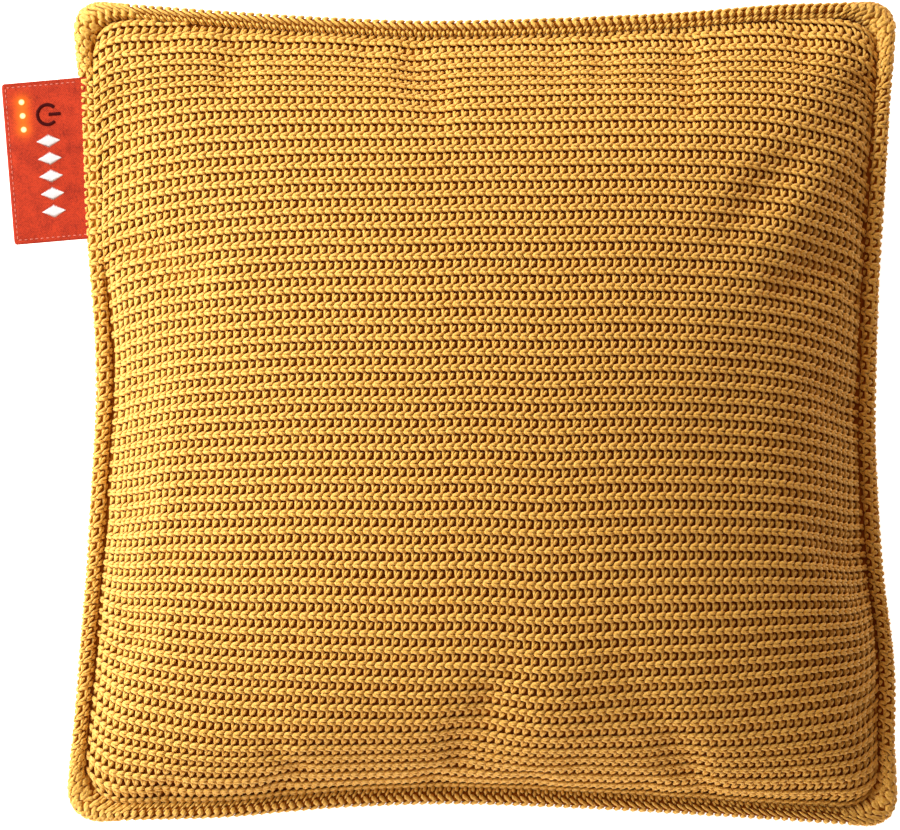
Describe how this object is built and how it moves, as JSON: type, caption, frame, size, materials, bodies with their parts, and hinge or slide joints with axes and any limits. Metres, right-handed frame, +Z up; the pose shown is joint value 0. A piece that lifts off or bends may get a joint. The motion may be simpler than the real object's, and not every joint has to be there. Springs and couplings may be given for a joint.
{
  "type": "heated cushion",
  "caption": "Square filled cushion in chunky ribbed mustard knit with a sewn lip, and a coral woven control tab with light windows in its left edge.",
  "frame": {"origin": "middle of the flat patch that the cushion rests on, on its underside", "axes": "+Z up out of the front panel, +X to the right (the control tab is at -X), +Y towards the top edge as seen from above"},
  "size_m": [0.4895, 0.4475, 0.1357],
  "materials": {
    "knit_yarn": "matte mustard ribbed knit of plied yarn",
    "tab_cloth": "fine plain-woven coral cloth with pinkish-white running stitch",
    "light_window": "warm white diffuser, lit"
  },
  "bodies": {
    "root": {"cushion": "knit_yarn", "control_tab": "tab_cloth", "light_1": "light_window", "light_2": "light_window", "light_3": "light_window"}
  },
  "joints": []
}
